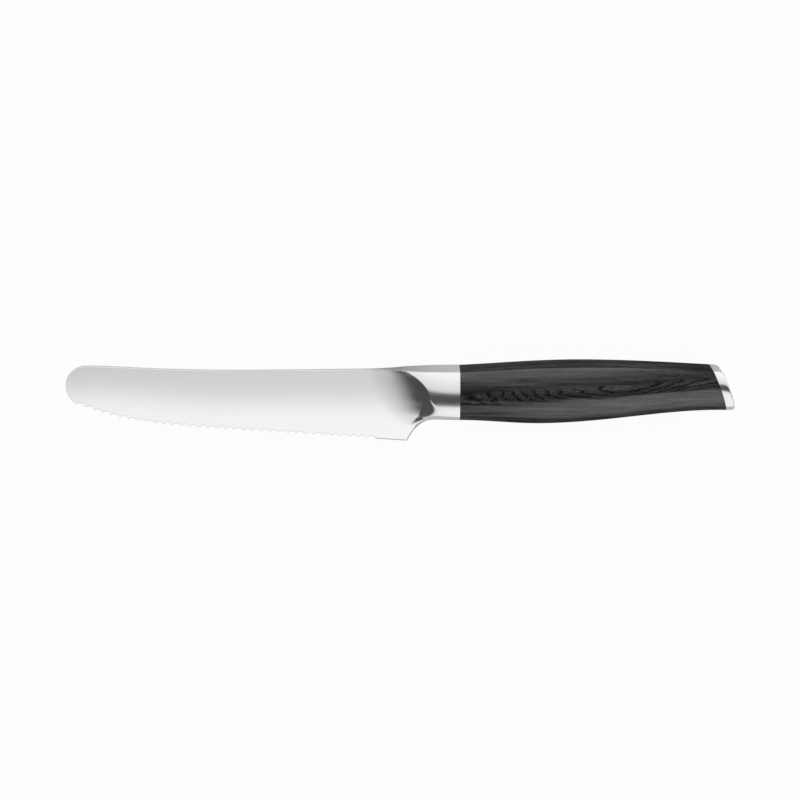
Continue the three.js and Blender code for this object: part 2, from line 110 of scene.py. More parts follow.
RISE_EVENING = [(-2, 0.25), (0, 0.5), (2, 0.25)]  # steps of height that even out the rise, and weights

# Bolster and handle, as rows of place, value and slope along the knife
HANDLE_REAR = 110.3
HANDLE_TOP = [(BOLSTER_LENGTH, SPINE_HEIGHT, 0.05), (60.5, 10.05, 0), (HANDLE_REAR, 8.3, -0.055)]
HANDLE_BOTTOM = [(BOLSTER_LENGTH, -BOLSTER_DEPTH, 0), (46, -11.3, 0), (HANDLE_REAR, -6.6, 0)]
HANDLE_THICKNESS = [(BOLSTER_LENGTH, 16, 0), (56, 17.8, 0), (68, 17.8, 0), (HANDLE_REAR, 13, -0.03)]
HANDLE_TOP_WIDTH = [(BOLSTER_LENGTH, 11.6, 0), (60.5, 12.2, 0), (HANDLE_REAR, 10.2, -0.03)]
HANDLE_WIDEST = [(BOLSTER_LENGTH, -5, 0), (62, -2, 0.06), (103, 1.5, 0), (HANDLE_REAR, 0.9, -0.25)]
SIDE_FLAT = 0.6
UNDERSIDE_ROUND = 2.2
TANG_HALVES = (4, 1.5)  # half height and half thickness
TANG_FIT = 0.2
CHANNEL_KNOTS = (0, 0.25, 0.32, 0.68, 0.75, 1)  # shares of the columns at the corners of a half's inside
LAP_FRONT = 97.3
LAP_GAP = 0.2
TONGUE_HALF_HEIGHT = 3.2
VISIBLE_JOINT = 0.02  # gap left at a glued joint

# End cap
CAP_THICKNESS = 3.15
CAP_JOINT_RADIUS = 73
CAP_LEAN = 19
CAP_CORNER = 1.3  # of the back's outline
CAP_EDGE = 0.35  # between side and back

# Rounding of the long corners
SPINE_CORNER = 0.5
BOLSTER_CORNER = 0.15
CORNER_CHANGE = (-15, -8)  # places between which the spine's rounding becomes the bolster's
HANDLE_CORNER = 0.4

# Fineness of the surfaces
CURVE_POINTS = 400
NOSE_STEPS = 24
TOOTH_STEPS = 12
NOTCH_POINTS = 48  # of the edge's line in each tooth
HOLLOW_STEP = 0.2
BOLSTER_STEP = 0.14
SIDE_LEVELS = 64
LEVEL_BEND = 0.15  # share of the levels that crowd towards the lowest point
HOLDING_LEVEL = 0.0025  # a level close under the top corner, which keeps its shading off the side
FLAT_STEPS = 3
CORNER_STEPS = 4
HANDLE_STEPS = 130
CAP_STEPS = 16
CAP_RIM_STEPS = 4
CAP_FACE_SHARES = (0.6, 0.8, 1)  # of the outline, for the rings on the cap's face and its back
CAP_BACK_SHARES = (0.8, 0.6, 0.4, 0.2, 0)
SETTLING = 14  # rounds until a place on the slanted joint and the height there agree
SHARPEST = 0.001  # half an edge's thickness under which both faces meet in a line
SHARP_ANGLE = 38
JOIN_DIGITS = 9  # decimals of a metre in which points that are joined agree

# Finishes: swings of a pattern to a millimetre along X, Y and Z, and depths of relief in metres
BLADE_LINES = (9, 0.12, 0.12)
BLADE_HAZE = (0.12, 0.3, 0.3)
LINE_DEPTH = 1.5e-6
CAP_RUB = (0.6, 5, 5)
CAP_HAZE = (0.3, 0.4, 0.4)
RUB_DEPTH = 1e-6
WOOD_WAVE = (0.04, 0.2, 0.2)
WOOD_FLAME = (0.1, 1.2, 1.2)
WOOD_FIBRE = (0.12, 3, 3)
WOOD_STREAK = (0.03, 0.9, 0.9)
WOOD_FLECK = (0.35, 1.2, 1.2)
WOOD_SPECK = (0.5, 2.2, 2.2)
WOOD_LAYER = 0.25  # thickness of a growth layer
WOOD_DARK = (0.002, 0.0019, 0.0019, 1)
WOOD_LIGHT = (0.06, 0.0595, 0.059, 1)
FIBRE_DEPTH = 8e-6
RUBBED_IOR = 1.73
RAW_IOR = 1.2
DRAW_MARKS = (8, 8, 0.4)
DRAW_DEPTH = 3e-6

# Camera and light, in metres and degrees from straight above the blade's side, towards the spine
VIEW_TILT = 15
VIEW_DISTANCE = 0.695
VIEW_WIDTH = 0.2819  # what the picture spans at that distance
VIEW_AIM = (0, 0.00077)
SENSOR = 36  # millimetres
TENT_BANDS = [
    (-90, 0.74), (-60, 0.76), (-34, 0.78), (-12.4, 0.78), (-10.9, 0.045), (1.5, 0.045), (3.5, 0.65),
    (8, 0.66), (12, 0.69), (16, 0.77), (20, 0.82), (60, 0.84), (90, 0.75),
]  # brightness at angles across the knife
TENT_ENDS = [
    (-90, 0.2), (-48, 0.4), (-32, 1), (0, 1), (8, 0.985), (12, 0.93), (15.5, 0.87), (19, 0.83),
    (23, 0.755), (26, 0.68), (29, 0.565), (31, 0.48), (33.5, 0.41), (35, 0.32), (37, 0.23),
    (38.6, 0.165), (40.5, 0.095), (44, 0.08), (90, 0.08),
]  # share of it at angles towards the tip
SPINE_SIDE = (-8, 6)  # angles across the knife between which the ends stop being dim
TENT_GLOW = 1.47
FLOOR_HALF = 6.0
FLOOR_GAP = 1e-5  # keeps the floor off the flat that the knife rests on
FLOOR_GREY = 0.65
FLOOR_SHINE = 0.96  # share that shines, for the camera and for what mirrors or passes light
FLOOR_MIRRORED = 0.1

METRES = 0.001

# Where the knife's own axes start, in the frame
heel_place = Vector((
    solid_low.x + BLADE_LENGTH * METRES,
    solid_low.y + HEEL_DEPTH * METRES,
    (solid_low.z + solid_high.z) / 2,
))


def to_frame(points):
    """Points in the knife's millimetres as points in the frame's metres."""
    return np.asarray(points) * METRES + np.array(heel_place)


def ease(x, low, high):
    """Nought up to low, one from high on, and 3u^2 - 2u^3 between."""
    u = np.clip((x - low) / (high - low), 0, 1)
    return u * u * (3 - 2 * u)


def through(x, rows):
    """A smooth run through rows of place, value and slope: cubics between them, straight after the last."""
    place, value, slope = np.array(rows, float).T
    at = np.clip(np.searchsorted(place, x, side="right") - 1, 0, len(place) - 2)
    span = place[at + 1] - place[at]
    u = np.clip((x - place[at]) / span, 0, 1)
    leaving = u * (1 - u) ** 2 * span * slope[at]
    arriving = u * u * (1 - u) * span * slope[at + 1]
    beyond = np.maximum(x - place[-1], 0) * slope[-1]
    return value[at] + (value[at + 1] - value[at]) * u * u * (3 - 2 * u) + leaving - arriving + beyond


def higher_of(a, b, blend):
    """The higher of two heights, raised by up to a quarter of blend where they cross."""
    near = np.maximum(blend - np.abs(a - b), 0) / blend
    return np.maximum(a, b) + near * near * blend / 4


def cubic(start, pull, push, end):
    """A cubic curve: its corners weighed by (1-t)^3, 3t(1-t)^2, 3t^2(1-t) and t^3."""
    t = np.linspace(0, 1, CURVE_POINTS)[:, None]
    start, pull, push, end = (np.array(corner, float) for corner in (start, pull, push, end))
    return start * (1 - t) ** 3 + 3 * pull * t * (1 - t) ** 2 + 3 * push * t * t * (1 - t) + end * t ** 3


# Corners of the blade's outline
heel = (0, -HEEL_DEPTH)
nose_centre = np.array([NOSE_RADIUS - BLADE_LENGTH, NOSE_HEIGHT - NOSE_RADIUS])
edge_slope = (HEEL_DEPTH + STRAIGHT_EDGE[1]) / -STRAIGHT_EDGE[0]
plain_start = (-PLAIN_EDGE, PLAIN_EDGE * edge_slope - HEEL_DEPTH)


def nose_arc(start, end):
    """The round nose between two angles in degrees."""
    angle = np.radians(np.linspace(start, end, CURVE_POINTS))
    return nose_centre + NOSE_RADIUS * np.stack([np.cos(angle), np.sin(angle)], axis=1)


def spine_line():
    """The spine from the tip to the handle: the nose's arc, two cubics and a level stretch."""
    from_nose, to_dip, from_dip, to_heel = SPINE_PULLS
    nose = nose_arc(NOSE_TIP_ANGLE, NOSE_TOP_ANGLE)
    dip_x, dip_y = SPINE_DIP
    front = cubic(nose[-1], nose[-1] + (from_nose, 0), (dip_x - to_dip, dip_y), SPINE_DIP)
    rear = cubic(SPINE_DIP, (dip_x + from_dip, dip_y), (-to_heel, SPINE_HEIGHT), (0, SPINE_HEIGHT))
    return np.concatenate([nose, front[1:], rear[1:], [(BOLSTER_LENGTH, SPINE_HEIGHT)]])


def edge_path():
    """The path that the teeth follow: a cubic from the nose, then straight to the plain edge."""
    from_straight, to_nose = EDGE_PULLS
    nose_end = nose_arc(NOSE_TIP_ANGLE, NOSE_END_ANGLE)[-1]
    slope = math.radians(BELLY_SLOPE)
    belly = cubic(
        nose_end,
        nose_end + to_nose * np.array([math.cos(slope), -math.sin(slope)]),
        (STRAIGHT_EDGE[0] - from_straight, STRAIGHT_EDGE[1] + from_straight * edge_slope),
        STRAIGHT_EDGE,
    )
    straight = np.linspace(STRAIGHT_EDGE, plain_start, CURVE_POINTS)
    return np.concatenate([belly, straight[1:]])


def choil_line():
    """The curve from the heel up and round to the bolster's level underside."""
    lean = math.radians(CHOIL_LEAN)
    from_heel, to_bolster = CHOIL_PULLS
    return cubic(
        heel,
        (heel[0] + from_heel * math.sin(lean), heel[1] + from_heel * math.cos(lean)),
        (CHOIL_LENGTH - to_bolster, -BOLSTER_DEPTH),
        (CHOIL_LENGTH, -BOLSTER_DEPTH),
    )


spine = spine_line()
path = edge_path()
choil = choil_line()
choil_web = choil[int(CHOIL_WEB * (CURVE_POINTS - 1)), 0]

# The teeth: equal lengths of the path, each ground by a wheel that leans on the right face
path_length = np.concatenate([[0], np.cumsum(np.hypot(*np.diff(path, axis=0).T))])
path_fall = np.arctan2(-np.gradient(path[:, 1]), np.gradient(path[:, 0]))
tooth_count = round(path_length[-1] / TOOTH_PITCH)
tooth_pitch = path_length[-1] / tooth_count
tooth_ends = np.interp(np.arange(tooth_count + 1) * tooth_pitch, path_length, path[:, 0])
wheel_sine = math.sin(math.radians(SCALLOP_LEAN))
wheel_cosine = math.cos(math.radians(SCALLOP_LEAN))
wheel_sink = SCALLOP_DEPTH * wheel_sine
wheel_radius = (tooth_pitch ** 2 / 4 + wheel_sink ** 2) / (2 * wheel_sink)


def wheel_rise(along):
    """How far a wheel's rim lies above its lowest line: R - sqrt(R^2 - s^2), s from a tooth's middle."""
    s = along - (np.floor(along / tooth_pitch) + 0.5) * tooth_pitch
    return wheel_radius - np.sqrt(wheel_radius ** 2 - s * s)


def notched_edge():
    """The path moved inwards, square to itself, by depth - rise / sin(lean): a scallop in each tooth."""
    along = np.linspace(0, path_length[-1], tooth_count * NOTCH_POINTS + 1)
    fall = np.interp(along, path_length, path_fall)
    depth = np.maximum(SCALLOP_DEPTH - wheel_rise(along) / wheel_sine, 0)
    x = np.interp(along, path_length, path[:, 0]) + depth * np.sin(fall)
    y = np.interp(along, path_length, path[:, 1]) + depth * np.cos(fall)
    return np.stack([x, y], axis=1)


def lower_line():
    """The lowest line from the tip to the handle: nose, teeth, plain edge, choil, bolster."""
    nose = nose_arc(NOSE_TIP_ANGLE, NOSE_END_ANGLE)
    level = [(BOLSTER_LENGTH, -BOLSTER_DEPTH)]
    return np.concatenate([nose, notched_edge()[1:], [heel], choil[1:], level])


lower = lower_line()


def blade_half(x, y):
    """Half the blade's thickness: falls evenly towards edge and tip, plus a shallow bulge 4w(1-w)."""
    towards_edge = (SPINE_HEIGHT - y) / (SPINE_HEIGHT + HEEL_DEPTH)
    thickness = SPINE_THICKNESS - (SPINE_THICKNESS - EDGE_THICKNESS) * towards_edge
    thickness = thickness + (SPINE_THICKNESS - NOSE_THICKNESS) * np.minimum(x, 0) / BLADE_LENGTH
    return thickness / 2 + BLADE_CROWN * 4 * towards_edge * (1 - towards_edge)


def handle_half(x, y):
    """Half the thickness of bolster or handle at a height.

    Above the widest level it is half - (half - top half) * rise^2, and below it
    half * (1 - fall^n)^(1/n), both over the share of the way to the top or the lowest point.
    The bolster's sizes swell along its nose by 1 - (way from the handle / nose length)^power.
    """
    swell = 1 - np.clip((BOLSTER_LENGTH - x) / BOLSTER_NOSE, 0, 1) ** BOLSTER_NOSE_POWER
    half = through(x, HANDLE_THICKNESS) / 2 * swell
    top_half = through(x, HANDLE_TOP_WIDTH) / 2 * swell
    widest = through(x, HANDLE_WIDEST)
    place = np.maximum(x, choil_web)
    lowest = np.interp(place, choil[:, 0], choil[:, 1])
    bottom = np.where(x < BOLSTER_LENGTH, lowest, through(x, HANDLE_BOTTOM))
    power = CHOIL_ROUND + (UNDERSIDE_ROUND - CHOIL_ROUND) * ease(place, choil_web, BOLSTER_LENGTH)
    flat_top = widest + SIDE_FLAT / 2
    flat_bottom = widest - SIDE_FLAT / 2
    rise = np.maximum(y - flat_top, 0) / (through(x, HANDLE_TOP) - flat_top)
    fall = np.clip((flat_bottom - y) / (flat_bottom - bottom), 0, 1)
    upper = half - (half - top_half) * rise ** 2
    return np.where(y > flat_bottom, upper, half * (1 - fall ** power) ** (1 / power))


def off_bolster(x):
    """One on the blade, eased to nought along the choil."""
    return 1 - ease(x, choil_web, CHOIL_LENGTH)


def off_teeth(x):
    """Nought along the teeth, one along the plain edge behind them."""
    return ease(x, -PLAIN_EDGE, -PLAIN_EDGE + HONED_EDGE)


def bolster_half(x, y):
    """The higher of the bolster's half thickness and the blade's, which thins out over the choil."""
    blade = blade_half(x, y) * off_bolster(x)
    return higher_of(blade, handle_half(x, y) * ease(y, *CHOIL_FADE), BOLSTER_NOSE_BLEND)


def hollow_half(x, y):
    """Half the thickness in the hollow: the blade's, plus the bolster's rise at the crease * a share.

    The share is s * w^2 + (1 - s) * w^n, w the way from the hollow's start to the crease; its second part
    fades out low down. The rise is evened out over a few millimetres of height.
    """
    start = through(y, HOLLOW_START)
    crease = through(y, CREASE)
    rise = -blade_half(crease, y)
    for shift, weight in RISE_EVENING:
        rise = rise + weight * bolster_half(crease, y + shift)
    way = np.maximum((x - start) / (crease - start), 0)
    even = through(y, HOLLOW_SHARE)
    share = even * way ** 2 + (1 - even) * ease(y, *HOLLOW_LIP) * way ** LIP_POWER
    return blade_half(x, y) + rise * share


def past_crease(x, y):
    """Nought on the blade and in the hollow, one on the bolster, eased over the crease's rounding."""
    rounding = through(y, CREASE_ROUND)
    return ease(x - through(y, CREASE), -rounding, rounding)


def above_edge(x, y):
    """Height above the lowest line."""
    return y - np.interp(x, lower[:, 0], lower[:, 1])


def whetted(x, y):
    """One on the strip along the edge and the choil that a stone has left dull, less on the teeth."""
    low = np.where(x > 0, 2 * HONED_EDGE, HONED_EDGE)
    strip = 1 - ease(above_edge(x, y), low / 2, low)
    return strip * (TOOTH_DULLNESS + (1 - TOOTH_DULLNESS) * off_teeth(x)) * off_bolster(x)


def forged_half(x, y):
    """A face of the forging: the hollow up to the crease, the bolster behind it, a honed plain edge."""
    hollow = hollow_half(x, y)
    forged = hollow + (bolster_half(x, y) - hollow) * past_crease(x, y)
    plain = off_teeth(x) * off_bolster(x)
    honed = HONED_EDGE * (1 + ease(x, -HONED_EDGE, HONED_EDGE))
    return forged * (1 - plain * (1 - ease(above_edge(x, y), -honed / 4, honed)))


def ground_half(x, y):
    """The right face: as the left one, hollowed by the wheels along the teeth."""
    fall = np.interp(x, path[:, 0], path_fall)
    above = y - np.interp(x, path[:, 0], path[:, 1])
    along = np.interp(x, path[:, 0], path_length) - above * np.sin(fall)
    whole = forged_half(x, y)
    drop = (above * np.cos(fall) - SCALLOP_DEPTH) * wheel_sine + wheel_rise(along)
    ground = np.clip(drop / wheel_cosine - whole, -whole, whole)
    toothed = (x > path[0, 0]) & (x < path[-1, 0])
    return np.where(toothed, ground, whole)


# Columns of a half section, from the middle of its top to the middle of its underside: a flat, a rounded
# corner, the levels of the side, a flat. Each column has its share of the corner's drop, of the side's
# depth, of the half thickness there, and of what the corner takes off it.
corner_turn = np.linspace(np.pi / 2, 0, CORNER_STEPS, endpoint=False)
flat_share = np.linspace(0, 1, FLAT_STEPS, endpoint=False)
way_up = np.linspace(1, 0, SIDE_LEVELS - 1)
crowded = 1 - way_up ** 2 * (1 + LEVEL_BEND) / (way_up + LEVEL_BEND)
crowded = np.insert(crowded, 1, HOLDING_LEVEL)
noughts = np.zeros(FLAT_STEPS + CORNER_STEPS)
ones = np.ones(SIDE_LEVELS + FLAT_STEPS)
under_share = np.concatenate([np.ones(SIDE_LEVELS), flat_share[::-1]])
column_drop = np.concatenate([noughts[:FLAT_STEPS], 1 - np.sin(corner_turn), ones])
column_depth = np.concatenate([noughts, crowded, ones[:FLAT_STEPS]])
column_width = np.concatenate([flat_share, np.ones(CORNER_STEPS), under_share])
column_cut = np.concatenate([flat_share, 1 - np.cos(corner_turn), 0 * ones])
column_on_side = np.concatenate([noughts, ones]) > 0
column_at_edge = column_depth == 1
column_on_spine = np.concatenate([noughts + 1, ones[:1], 0 * ones[1:]])
column_count = len(column_drop)


def half_section(x, top, bottom, corner, half_at):
    """Heights and half widths of the columns, where half_at gives half the thickness at a height."""
    y = top - corner * column_drop - (top - corner - bottom) * column_depth
    rim = half_at(x, top - corner)
    round_top = rim * column_width - corner * column_cut
    return y, np.where(column_on_side, half_at(x, y) * column_width, round_top)


def rings(x, left, right):
    """Closed rings: down the left half section and up the right one."""
    down = np.stack(np.broadcast_arrays(x, left[0], left[1]), axis=-1)
    up = np.stack(np.broadcast_arrays(x, right[0], -right[1]), axis=-1)
    return np.concatenate([down, up[:, ::-1]], axis=1)


def met_at_edge(left, right):
    """Both half sections with the underside laid across: its middle plus half its thickness * a share.

    Where that half is under the sharpest, both faces meet in a line.
    """
    edge_left = left[1][:, column_at_edge][:, :1]
    edge_right = right[1][:, column_at_edge][:, :1]
    middle = (edge_left - edge_right) / 2
    half = (edge_left + edge_right) / 2
    under = np.where(half < SHARPEST, 0, half) * column_width
    left_z = np.where(column_at_edge, middle + under, left[1])
    right_z = np.where(column_at_edge, under - middle, right[1])
    return (left[0], left_z), (right[0], right_z)


def bar_ring(x, reach, middle, half):
    """A ring with a section's columns round a flat bar; with no reach and half it is a single point."""
    top = np.array([[float(reach)]])
    y, z = half_section(x, top, -top, 0, lambda place, height: half + 0 * height)
    return rings(x, (y, z), (y, z)) + np.array([0, 0, middle])


def forging_stations():
    """Places of the forging's rings: close at the tip, in step with the teeth, close in the hollow."""
    tip_turn = np.linspace(0, np.pi / 2, NOSE_STEPS, endpoint=False)
    nose = -BLADE_LENGTH + (tooth_ends[0] + BLADE_LENGTH) * (1 - np.cos(tip_turn))
    share = np.arange(TOOTH_STEPS) / TOOTH_STEPS
    teeth = (tooth_ends[:-1, None] + np.diff(tooth_ends)[:, None] * share).ravel()
    hollow = np.linspace(tooth_ends[-1], 0, int(PLAIN_EDGE / HOLLOW_STEP), endpoint=False)
    bolster = np.linspace(0, BOLSTER_LENGTH, int(BOLSTER_LENGTH / BOLSTER_STEP))
    return np.concatenate([nose, teeth, hollow, bolster])[:, None]


def joint_at(y):
    """The joint between handle and cap: an arc that leans back."""
    lean = math.radians(CAP_LEAN)
    centre_x = HANDLE_REAR - CAP_JOINT_RADIUS * math.cos(lean)
    centre_y = -CAP_JOINT_RADIUS * math.sin(lean)
    return centre_x + np.sqrt(CAP_JOINT_RADIUS ** 2 - (y - centre_y) ** 2)


def forging_rings():
    """Blade, bolster and tang in one: rings from the tip to the handle, then round tang and tail."""
    x = forging_stations()
    top = np.interp(x, spine[:, 0], spine[:, 1])
    bottom = np.interp(x, lower[:, 0], lower[:, 1])
    corner = SPINE_CORNER + (BOLSTER_CORNER - SPINE_CORNER) * ease(x, *CORNER_CHANGE)
    corner = np.minimum(corner, (top - bottom) / 4)
    left = half_section(x, top, bottom, corner, forged_half)
    right = half_section(x, top, bottom, corner, ground_half)
    body = rings(x, *met_at_edge(left, right))
    polish = past_crease(body[..., 0], body[..., 1])
    dull = whetted(body[..., 0], body[..., 1])
    reach, half = TANG_HALVES
    tail_half = (half - LAP_GAP / 2) / 2
    tail_middle = tail_half - half
    tail_end = joint_at(reach) - TANG_FIT
    tang = np.concatenate([
        bar_ring(BOLSTER_LENGTH, reach, 0, half),
        bar_ring(LAP_FRONT - TANG_FIT, reach, 0, half),
        bar_ring(LAP_FRONT - TANG_FIT, reach, tail_middle, tail_half),
        bar_ring(tail_end, reach, tail_middle, tail_half),
        bar_ring(tail_end, 0, tail_middle, 0),
    ])
    facet = np.concatenate([column_on_spine, column_on_spine[::-1]]) + 0 * polish
    hidden = np.zeros(tang.shape[:2])
    shares = {"polish": polish, "dull": dull, "facet": facet}
    shares = {key: np.concatenate([share, hidden]) for key, share in shares.items()}
    return np.concatenate([body, tang]), shares


def handle_section(x):
    """The half section of the handle at places x."""
    return half_section(x, through(x, HANDLE_TOP), through(x, HANDLE_BOTTOM), HANDLE_CORNER, handle_half)


def handle_rings(side):
    """One handle half: its outside, and inside the glued face with the channel for the tang.

    Rows run from the bolster to the slanted joint with the cap. At both ends the ring draws together
    on the line half way between outside and inside, which closes the half.
    """
    front = BOLSTER_LENGTH + VISIBLE_JOINT
    way = np.linspace(0, 1, HANDLE_STEPS)[:, None]
    x = front + (HANDLE_REAR - front) * way + np.zeros(column_count)
    for _ in range(SETTLING):
        y, z = handle_section(x)
        x = front + (joint_at(y) - VISIBLE_JOINT - front) * way
    outside = np.stack([x, y, np.maximum(z, VISIBLE_JOINT / 2)], axis=-1)
    reach, half = (size + TANG_FIT for size in TANG_HALVES)
    at = np.arange(column_count)
    knots = np.round(np.array(CHANNEL_KNOTS) * (column_count - 1 - FLAT_STEPS))
    inner_y = y[:, :1] * np.interp(at, knots, [1, 0, 0, 0, 0, 0])
    inner_y = inner_y + y[:, -1:] * np.interp(at, knots, [0, 0, 0, 0, 0, 1])
    inner_y = inner_y + np.interp(at, knots, [0, reach, reach, -reach, -reach, 0])
    face = VISIBLE_JOINT / 2
    inner_z = np.interp(at, knots, [face, face, half, half, face, face]) + 0 * inner_y
    inner_x = front + (joint_at(inner_y) - VISIBLE_JOINT - front) * way
    inside = np.stack([inner_x, inner_y, inner_z], axis=-1)
    middle = (outside + inside) / 2
    ends = np.concatenate([middle, middle[:, ::-1]], axis=1)
    whole = np.concatenate([outside, inside[:, ::-1]], axis=1)
    whole = np.concatenate([ends[:1], whole, ends[-1:]])
    return whole if side > 0 else whole[:, ::-1] * np.array([1, 1, -1])


def drawn_in(behind, radius):
    """How far a rounded edge lies inside: r - sqrt(r^2 - s^2), s from where its rounding starts."""
    s = max(behind - CAP_THICKNESS + radius, 0)
    return radius - math.sqrt(max(radius * radius - s * s, 0))


def cap_ring(behind, share):
    """The handle's section a distance behind the joint, its edges rounded, at a share of its size."""
    y = np.zeros((1, column_count))
    for _ in range(SETTLING):
        x = joint_at(y) + behind
        y, z = handle_section(x)
    top = through(x, HANDLE_TOP)
    bottom = through(x, HANDLE_BOTTOM)
    middle = (top + bottom) / 2
    y = middle + (y - middle) * (1 - 2 * drawn_in(behind, CAP_CORNER) / (top - bottom)) * share
    z = z * (1 - 2 * drawn_in(behind, CAP_EDGE) / through(x, HANDLE_THICKNESS)) * share
    return rings(joint_at(y) + behind, (y, z), (y, z))


def cap_rings():
    """The end cap: its tongue, the face on the joint, the rim, the rounded edge, the round back."""
    half = (TANG_HALVES[1] - LAP_GAP / 2) / 2
    middle = TANG_HALVES[1] - half
    gap = VISIBLE_JOINT / 2
    made = [
        bar_ring(LAP_FRONT, 0, middle, 0),
        bar_ring(LAP_FRONT, TONGUE_HALF_HEIGHT, middle, half),
        bar_ring(HANDLE_REAR, TONGUE_HALF_HEIGHT, middle, half),
    ]
    made += [cap_ring(gap, share) for share in CAP_FACE_SHARES]
    turn = np.linspace(0, np.pi / 2, CAP_STEPS)
    rounding = CAP_THICKNESS - CAP_CORNER * (1 - np.sin(turn))
    rim = np.linspace(gap, rounding[0], CAP_RIM_STEPS)[1:-1]
    made += [cap_ring(behind, 1) for behind in np.concatenate([rim, rounding])]
    made += [cap_ring(CAP_THICKNESS, share) for share in CAP_BACK_SHARES]
    return np.concatenate(made)


def add_piece(name, grid, finish, node, shares=None):
    """Rings of points as one closed mesh: quads between rings, with points that coincide joined.

    Shares are values for each point that its finish reads by name.
    """
    points = np.round(to_frame(grid).reshape(-1, 3), JOIN_DIGITS)
    places, index = np.unique(points, axis=0, return_inverse=True)
    index = index.reshape(grid.shape[:2])
    after = np.roll(index, -1, axis=1)
    quads = np.stack([index[:-1], after[:-1], after[1:], index[1:]], axis=-1).reshape(-1, 4)
    same = quads == np.roll(quads, -1, axis=1)
    crossed = (quads[:, 0] == quads[:, 2]) | (quads[:, 1] == quads[:, 3])
    whole = quads[(same.sum(axis=1) == 0) & ~crossed]
    thin = (same.sum(axis=1) == 1) & ~crossed
    corners = quads[thin][~same[thin]].reshape(-1, 3)
    mesh = bpy.data.meshes.new(name)
    mesh.from_pydata(places.tolist(), [], whole.tolist() + corners.tolist())
    for key, share in (shares or {}).items():
        values = np.zeros(len(places), np.float32)
        values[index.ravel()] = share.ravel()
        mesh.attributes.new(key, "FLOAT", "POINT").data.foreach_set("value", values)
    mesh.shade_smooth()
    mesh.set_sharp_from_angle(angle=math.radians(SHARP_ANGLE))
    mesh.materials.append(finish)
    piece = bpy.data.objects.new(name, mesh)
    bpy.context.scene.collection.objects.link(piece)
    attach(piece, "root")
    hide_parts(node)


class Wire:
    """An output socket of a node tree that takes part in Python expressions, which add Math nodes."""

    def __init__(self, tree, socket=None):
        self.tree = tree
        self.socket = socket

    def outputs(self, *names):
        """Several outputs of the same node."""
        return [Wire(self.tree, self.socket.node.outputs[name]) for name in names]

    def node(self, kind, settings=None, inputs=None, output=0):
        """Add a node: first its settings, then values or wires for its sockets. Gives one output."""
        made = self.tree.nodes.new(kind)
        for key, value in (settings or {}).items():
            if key == "stops":
                self.set_stops(made.color_ramp, value)
            else:
                setattr(made, key, value)
        for key, value in (inputs or {}).items():
            if isinstance(value, Wire):
                self.tree.links.new(value.socket, made.inputs[key])
            else:
                made.inputs[key].default_value = value
        return Wire(self.tree, made.outputs[output]) if len(made.outputs) else None

    @staticmethod
    def set_stops(ramp, stops):
        """Places and grey values of a colour ramp."""
        while len(ramp.elements) < len(stops):
            ramp.elements.new(1)
        for element, (place, grey) in zip(ramp.elements, stops):
            element.position = place
            element.color = (grey, grey, grey, 1)

    def math(self, operation, *values):
        """A Math node on values and wires."""
        return self.node("ShaderNodeMath", {"operation": operation}, dict(enumerate(values)))

    def __add__(self, other):
        return self.math("ADD", self, other)

    def __sub__(self, other):
        return self.math("SUBTRACT", self, other)

    def __rsub__(self, other):
        return self.math("SUBTRACT", other, self)

    def __mul__(self, other):
        return self.math("MULTIPLY", self, other)

    def __truediv__(self, other):
        return self.math("DIVIDE", self, other)

    def __pow__(self, other):
        return self.math("POWER", self, other)

    def __abs__(self):
        return self.math("ABSOLUTE", self)

    __radd__ = __add__
    __rmul__ = __mul__

    def near_whole(self):
        """One at whole numbers and nought half way between them: |2 * fraction - 1|."""
        return abs(2 * self.math("FRACT", self) - 1)

    def smooth(self, low, high):
        """Nought below low and one above high, eased between."""
        inputs = {"Value": self, "From Min": low, "From Max": high}
        return self.node("ShaderNodeMapRange", {"interpolation_type": "SMOOTHSTEP"}, inputs)

    def mixed(self, low, high):
        """A colour between two, by this share; the node's colours are inputs 6 and 7 and output 2."""
        return self.node("ShaderNodeMix", {"data_type": "RGBA"}, {0: self, 6: low, 7: high}, output=2)

    def blended(self, first, second):
        """A shader between two, by this share."""
        return self.node("ShaderNodeMixShader", None, {0: self, 1: first, 2: second})

    def stretched(self, factors):
        """A place scaled along each axis."""
        return self.node("ShaderNodeVectorMath", {"operation": "MULTIPLY"}, {0: self, 1: factors})

    def axes(self):
        """The three numbers of a place or a direction."""
        return self.node("ShaderNodeSeparateXYZ", None, {0: self}).outputs("X", "Y", "Z")

    def noise(self, swings, detail=2.0, roughness=0.5):
        """Soft noise at this place, with so many swings to each unit along each axis."""
        spot = self.stretched(swings)
        inputs = {"Vector": spot, "Scale": 1.0, "Detail": detail, "Roughness": roughness}
        return self.node("ShaderNodeTexNoise", {"normalize": True}, inputs)


def grey(value):
    """A neutral colour."""
    return (value, value, value, 1)


def new_finish(name):
    """An empty material and a wire for its tree."""
    finish = bpy.data.materials.new(name)
    finish.use_nodes = True
    finish.node_tree.nodes.clear()
    return finish, Wire(finish.node_tree)


def millimetres(tree):
    """Places on a piece along the frame's axes, in millimetres."""
    return tree.node("ShaderNodeTexCoord", output="Object").stretched([1 / METRES] * 3)


def point_share(tree, name):
    """A share that a mesh holds for each of its points."""
    return tree.node("ShaderNodeAttribute", {"attribute_name": name}, output="Fac")


def relief(tree, height, depth):
    """A normal bent by relief: height in shares of depth, which is in metres."""
    return tree.node("ShaderNodeBump", None, {"Height": height, "Strength": 1.0, "Distance": depth})


def shaded(tree, base, roughness, normal, **fixed):
    """A surface shader; fixed numbers stay on its own sockets."""
    inputs = {"Base Color": base, "Roughness": roughness, "Normal": normal, **fixed}
    return tree.node("ShaderNodeBsdfPrincipled", None, inputs)


def close_finish(tree, shader):
    """The shader goes to the material's output."""
    tree.node("ShaderNodeOutputMaterial", None, {"Surface": shader})


